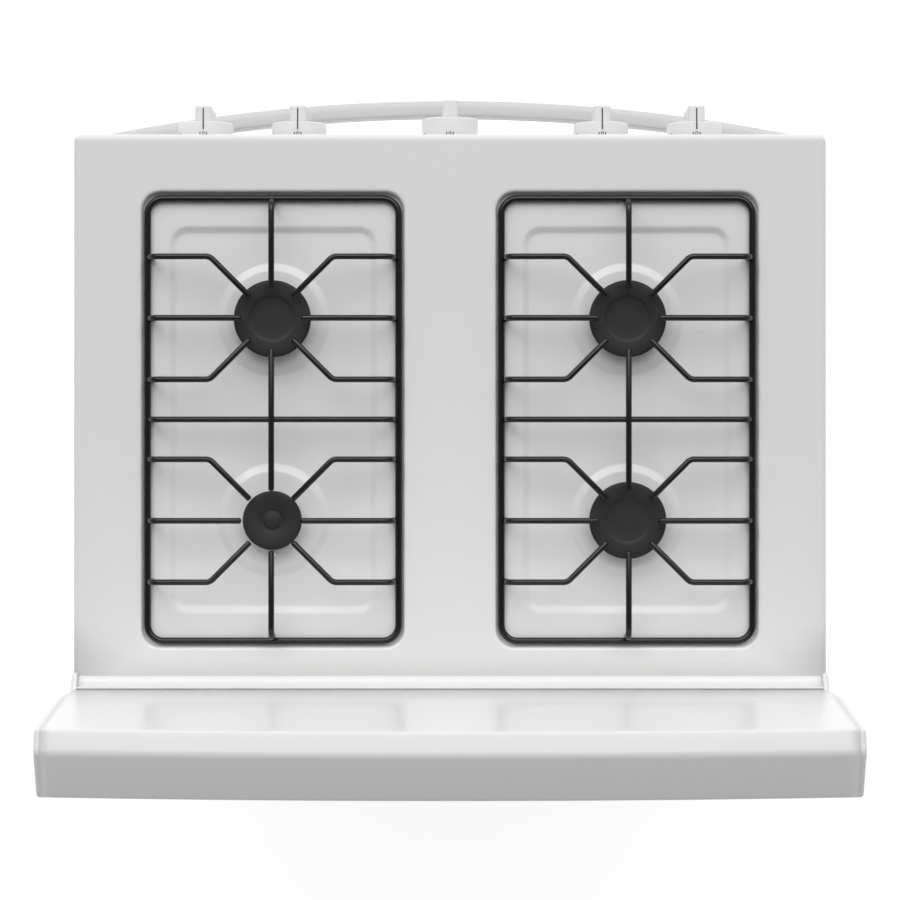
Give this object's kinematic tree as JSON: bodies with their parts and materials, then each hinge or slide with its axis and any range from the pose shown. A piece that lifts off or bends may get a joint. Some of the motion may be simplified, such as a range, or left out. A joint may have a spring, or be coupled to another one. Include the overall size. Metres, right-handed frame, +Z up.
{
  "type": "freestanding gas range",
  "caption": "White freestanding gas range: stamped cooktop with wire grates over round burners, bowed door handle, front knobs, arched backguard, oven door and storage drawer.",
  "frame": {"origin": "on the floor under the middle of the whole range, handle and backguard included", "axes": "+Z up, +Y to the wall behind, +X to the right of a cook standing in front"},
  "size_m": [0.759, 0.6915, 1.1855],
  "materials": {
    "white_enamel": "gloss enamel",
    "painted_frame": "satin paint",
    "galvanised_steel": "spangled zinc",
    "oven_enamel": "speckled porcelain enamel",
    "insulation_wool": "matte wool",
    "gasket_braid": "braided glass fibre",
    "chrome_wire": "bright",
    "hinge_steel": "zinc plated",
    "black_rubber": "matte",
    "cast_aluminium": "cast",
    "zinc_casting": "die cast",
    "valve_brass": "machined",
    "black_pipe": "matte black iron pipe",
    "electrode_ceramic": "white ceramic",
    "cap_enamel": "satin porcelain enamel",
    "grate_enamel": "gloss porcelain enamel",
    "white_plastic": "satin moulded",
    "window_glass": "dark tinted"
  },
  "bodies": {
    "root": {"backguard_cap_left": "white_plastic", "backguard_cap_right": "white_plastic", "backguard_rear_cover": "galvanised_steel", "backguard_skin": "white_enamel", "base_frame": "painted_frame", "burner_gas_tubes": "cast_aluminium", "burner_heads": "cast_aluminium", "burner_valves": "valve_brass", "chassis_screws": "hinge_steel", "control_panel": "white_enamel", "cooktop": "white_enamel", "drawer_rails": "galvanised_steel", "flame_spreader": "galvanised_steel", "front_frame": "painted_frame", "gas_inlet_fitting": "valve_brass", "gas_manifold_pipe": "black_pipe", "hinge_arms": "hinge_steel", "leveling_feet": "black_rubber", "oven_back_wall": "oven_enamel", "oven_burner_tube": "galvanised_steel", "oven_floor_panel": "oven_enamel", "oven_gasket": "gasket_braid", "oven_igniter": "electrode_ceramic", "oven_insulation": "insulation_wool", "oven_thermostat": "zinc_casting", "oven_wrapper": "oven_enamel", "power_cord_grommet": "black_rubber", "pressure_regulator": "zinc_casting", "rack_guides": "chrome_wire", "rear_panel": "galvanised_steel", "side_panel_left": "white_enamel", "side_panel_right": "white_enamel", "spark_electrodes": "electrode_ceramic"},
    "oven_door": {"door_outer_panel": "white_enamel", "door_inner_panel": "oven_enamel", "door_insulation": "insulation_wool", "door_window": "window_glass", "door_inner_window": "window_glass", "door_handle": "white_plastic", "door_hinge_brackets": "hinge_steel"},
    "storage_drawer": {"drawer_front": "white_enamel", "drawer_box": "galvanised_steel"},
    "rack_lower": {"oven_rack_lower": "chrome_wire"},
    "rack_upper": {"oven_rack_upper": "chrome_wire"},
    "grate_left": {"grate_left": "grate_enamel"},
    "grate_right": {"grate_right": "grate_enamel"},
    "cap_left_front": {"burner_cap_left_front": "cap_enamel"},
    "cap_left_rear": {"burner_cap_left_rear": "cap_enamel"},
    "cap_right_front": {"burner_cap_right_front": "cap_enamel"},
    "cap_right_rear": {"burner_cap_right_rear": "cap_enamel"},
    "stem_left_front": {"valve_stem_left_front": "hinge_steel"},
    "knob_left_front": {"knob_left_front": "white_plastic"},
    "stem_left_rear": {"valve_stem_left_rear": "hinge_steel"},
    "knob_left_rear": {"knob_left_rear": "white_plastic"},
    "stem_oven": {"valve_stem_oven": "hinge_steel"},
    "knob_oven": {"knob_oven": "white_plastic"},
    "stem_right_rear": {"valve_stem_right_rear": "hinge_steel"},
    "knob_right_rear": {"knob_right_rear": "white_plastic"},
    "stem_right_front": {"valve_stem_right_front": "hinge_steel"},
    "knob_right_front": {"knob_right_front": "white_plastic"}
  },
  "joints": [
    {"name": "oven_door_hinge", "type": "hinge", "parent": "root", "child": "oven_door", "pos_m": [0, -0.275, 0.2535], "axis": [1, 0, 0], "range_deg": [0, 90], "stiffness_Nm_per_rad": 14, "springref_deg": -17.19},
    {"name": "drawer_slide", "type": "slide", "parent": "root", "child": "storage_drawer", "axis": [0, -1, 0], "range_m": [0, 0.38]},
    {"name": "rack_lower_slide", "type": "slide", "parent": "root", "child": "rack_lower", "axis": [0, -1, 0], "range_m": [0, 0.025]},
    {"name": "rack_upper_slide", "type": "slide", "parent": "root", "child": "rack_upper", "axis": [0, -1, 0], "range_m": [0, 0.025]},
    {"name": "grate_left_lift", "type": "slide", "parent": "root", "child": "grate_left", "axis": [0, 0, 1], "range_m": [0, 0.06]},
    {"name": "grate_right_lift", "type": "slide", "parent": "root", "child": "grate_right", "axis": [0, 0, 1], "range_m": [0, 0.06]},
    {"name": "cap_left_front_lift", "type": "slide", "parent": "root", "child": "cap_left_front", "axis": [0, 0, 1], "range_m": [0, 0.008]},
    {"name": "cap_left_rear_lift", "type": "slide", "parent": "root", "child": "cap_left_rear", "axis": [0, 0, 1], "range_m": [0, 0.008]},
    {"name": "cap_right_front_lift", "type": "slide", "parent": "root", "child": "cap_right_front", "axis": [0, 0, 1], "range_m": [0, 0.008]},
    {"name": "cap_right_rear_lift", "type": "slide", "parent": "root", "child": "cap_right_rear", "axis": [0, 0, 1], "range_m": [0, 0.04]},
    {"name": "valve_left_front_turn", "type": "hinge", "parent": "root", "child": "stem_left_front", "pos_m": [-0.253, -0.3, 0.84], "axis": [0, 1, 0], "range_deg": [-270, 0]},
    {"name": "knob_left_front_push", "type": "slide", "parent": "stem_left_front", "child": "knob_left_front", "axis": [0, 1, 0], "range_m": [0, 0.0025], "stiffness_N_per_m": 800, "springref_m": -0.002},
    {"name": "valve_left_rear_turn", "type": "hinge", "parent": "root", "child": "stem_left_rear", "pos_m": [-0.1562, -0.3, 0.84], "axis": [0, 1, 0], "range_deg": [-270, 0]},
    {"name": "knob_left_rear_push", "type": "slide", "parent": "stem_left_rear", "child": "knob_left_rear", "axis": [0, 1, 0], "range_m": [0, 0.0025], "stiffness_N_per_m": 800, "springref_m": -0.002},
    {"name": "valve_oven_turn", "type": "hinge", "parent": "root", "child": "stem_oven", "pos_m": [0, -0.3, 0.84], "axis": [0, 1, 0], "range_deg": [-300, 0]},
    {"name": "knob_oven_push", "type": "slide", "parent": "stem_oven", "child": "knob_oven", "axis": [0, 1, 0], "range_m": [0, 0.0025], "stiffness_N_per_m": 800, "springref_m": -0.002},
    {"name": "valve_right_rear_turn", "type": "hinge", "parent": "root", "child": "stem_right_rear", "pos_m": [0.1562, -0.3, 0.84], "axis": [0, 1, 0], "range_deg": [-270, 0]},
    {"name": "knob_right_rear_push", "type": "slide", "parent": "stem_right_rear", "child": "knob_right_rear", "axis": [0, 1, 0], "range_m": [0, 0.0025], "stiffness_N_per_m": 800, "springref_m": -0.002},
    {"name": "valve_right_front_turn", "type": "hinge", "parent": "root", "child": "stem_right_front", "pos_m": [0.253, -0.3, 0.84], "axis": [0, 1, 0], "range_deg": [-270, 0]},
    {"name": "knob_right_front_push", "type": "slide", "parent": "stem_right_front", "child": "knob_right_front", "axis": [0, 1, 0], "range_m": [0, 0.0025], "stiffness_N_per_m": 800, "springref_m": -0.002}
  ]
}
